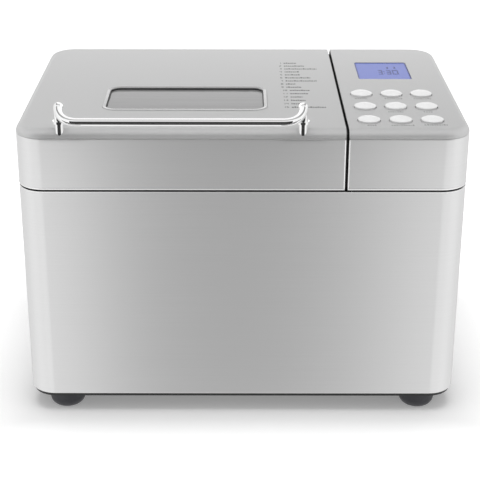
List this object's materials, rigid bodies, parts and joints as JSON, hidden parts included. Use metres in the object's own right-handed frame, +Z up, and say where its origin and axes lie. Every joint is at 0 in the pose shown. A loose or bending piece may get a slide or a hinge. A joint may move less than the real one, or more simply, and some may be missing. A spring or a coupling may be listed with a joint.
{
  "type": "bread machine",
  "caption": "Silver bread machine: hinged lid with window and chrome rail handle, control pod with display and round buttons, oven with lift-out pan and belt-driven kneader.",
  "frame": {"origin": "on the floor under the middle of the overall box", "axes": "+X to the right of someone facing the front, +Y to the rear, +Z up"},
  "size_m": [0.36, 0.2664, 0.2723],
  "materials": {
    "satin_steel": "satin stainless sheet",
    "silver_moulding": "silver lacquered moulding",
    "black_moulding": "black moulded plastic",
    "foot_rubber": "dark grey rubber",
    "zinc_steel": "zinc plated steel",
    "oven_steel": "aluminised steel sheet",
    "heater_sheath": "heat-darkened sheath",
    "cast_alloy": "die-cast alloy",
    "bronze": "sintered bronze",
    "belt_rubber": "black belt rubber",
    "motor_iron": "laminated iron",
    "pulley_moulding": "natural moulded nylon",
    "capacitor_case": "capacitor can",
    "circuit_board": "green laminate",
    "screw_steel": "bright plated",
    "display_glass": "clear blue-lit window",
    "display_body": "lit display",
    "window_glass": "grey toughened glass",
    "seal_silicone": "grey silicone",
    "chrome": "polished chrome",
    "pan_coating": "dark non-stick coating",
    "bail_wire": "bright wire",
    "button_white": "white gloss moulding"
  },
  "bodies": {
    "housing": {"body_wrap": "satin_steel", "rear_panel": "satin_steel", "base_plate": "black_moulding", "rubber_feet": "foot_rubber", "chassis": "zinc_steel", "deck": "black_moulding", "gap_strip": "black_moulding", "oven_chamber": "oven_steel", "heating_element": "heater_sheath", "heater_clips": "zinc_steel", "temperature_sensor": "heater_sheath", "pan_mount": "cast_alloy", "bearing_housing": "cast_alloy", "drive_bushes": "bronze", "drive_belt": "belt_rubber", "motor_end_caps": "cast_alloy", "motor_stator": "motor_iron", "capacitor": "capacitor_case", "power_board": "circuit_board", "cord_gland": "foot_rubber", "case_screws": "screw_steel", "pod_base": "black_moulding", "pod_band": "satin_steel", "control_panel": "silver_moulding", "display_lens": "display_glass", "display_module": "display_body", "control_board": "circuit_board", "hinge_brackets": "zinc_steel"},
    "lid": {"lid_band": "satin_steel", "lid_cover": "silver_moulding", "window_bezel": "silver_moulding", "window_glass": "window_glass", "lid_liner": "oven_steel", "lid_seal": "seal_silicone", "handle_posts": "chrome", "handle_bar": "chrome", "handle_screws": "screw_steel", "lid_hinge_leaves": "zinc_steel", "hinge_pins": "screw_steel"},
    "pan": {"bread_pan": "pan_coating", "pan_foot": "cast_alloy", "pan_bush": "bronze", "pan_ears": "zinc_steel"},
    "bail": {"pan_bail": "bail_wire"},
    "kneader": {"kneader_shaft": "zinc_steel", "kneading_paddle": "pan_coating"},
    "drive": {"drive_shaft": "zinc_steel", "drive_dog": "cast_alloy", "drive_pulley": "pulley_moulding"},
    "rotor": {"motor_rotor": "motor_iron", "motor_pulley": "pulley_moulding"},
    "key_1": {"button_1": "button_white"},
    "key_2": {"button_2": "button_white"},
    "key_3": {"button_3": "button_white"},
    "key_4": {"button_4": "button_white"},
    "key_5": {"button_5": "button_white"},
    "key_6": {"button_6": "button_white"},
    "key_7": {"button_7": "button_white"},
    "key_8": {"button_8": "button_white"},
    "key_9": {"button_9": "button_white"}
  },
  "joints": [
    {"name": "lid_hinge", "type": "hinge", "parent": "housing", "child": "lid", "pos_m": [-0.0496, 0.12575, 0.207], "axis": [-1, 0, 0], "range_deg": [0, 92]},
    {"name": "pan_lift", "type": "slide", "parent": "housing", "child": "pan", "axis": [0, 0, 1], "range_m": [0, 0.03]},
    {"name": "bail_swing", "type": "hinge", "parent": "pan", "child": "bail", "pos_m": [-0.0496, 0.00625, 0.1885], "axis": [1, 0, 0], "range_deg": [0, 180]},
    {"name": "drive_spin", "type": "hinge", "parent": "housing", "child": "drive", "pos_m": [-0.0496, 0.00625, 0.031], "axis": [0, 0, 1], "continuous": true},
    {"name": "kneader_spin", "type": "hinge", "parent": "pan", "child": "kneader", "pos_m": [-0.0496, 0.00625, 0.09], "axis": [0, 0, 1], "continuous": true},
    {"name": "motor_spin", "type": "hinge", "parent": "housing", "child": "rotor", "pos_m": [0.134, 0.00625, 0.07], "axis": [0, 0, 1], "continuous": true},
    {"name": "button_1_press", "type": "slide", "parent": "housing", "child": "key_1", "axis": [0, 0, -1], "range_m": [0, 0.001], "stiffness_N_per_m": 800},
    {"name": "button_2_press", "type": "slide", "parent": "housing", "child": "key_2", "axis": [0, 0, -1], "range_m": [0, 0.001], "stiffness_N_per_m": 800},
    {"name": "button_3_press", "type": "slide", "parent": "housing", "child": "key_3", "axis": [0, 0, -1], "range_m": [0, 0.001], "stiffness_N_per_m": 800},
    {"name": "button_4_press", "type": "slide", "parent": "housing", "child": "key_4", "axis": [0, 0, -1], "range_m": [0, 0.001], "stiffness_N_per_m": 800},
    {"name": "button_5_press", "type": "slide", "parent": "housing", "child": "key_5", "axis": [0, 0, -1], "range_m": [0, 0.001], "stiffness_N_per_m": 800},
    {"name": "button_6_press", "type": "slide", "parent": "housing", "child": "key_6", "axis": [0, 0, -1], "range_m": [0, 0.001], "stiffness_N_per_m": 800},
    {"name": "button_7_press", "type": "slide", "parent": "housing", "child": "key_7", "axis": [0, 0, -1], "range_m": [0, 0.001], "stiffness_N_per_m": 800},
    {"name": "button_8_press", "type": "slide", "parent": "housing", "child": "key_8", "axis": [0, 0, -1], "range_m": [0, 0.001], "stiffness_N_per_m": 800},
    {"name": "button_9_press", "type": "slide", "parent": "housing", "child": "key_9", "axis": [0, 0, -1], "range_m": [0, 0.001], "stiffness_N_per_m": 800}
  ],
  "couplings": [
    {"joint": "kneader_spin", "follows": "drive_spin", "ratio": 1},
    {"joint": "motor_spin", "follows": "drive_spin", "ratio": 5.25}
  ]
}
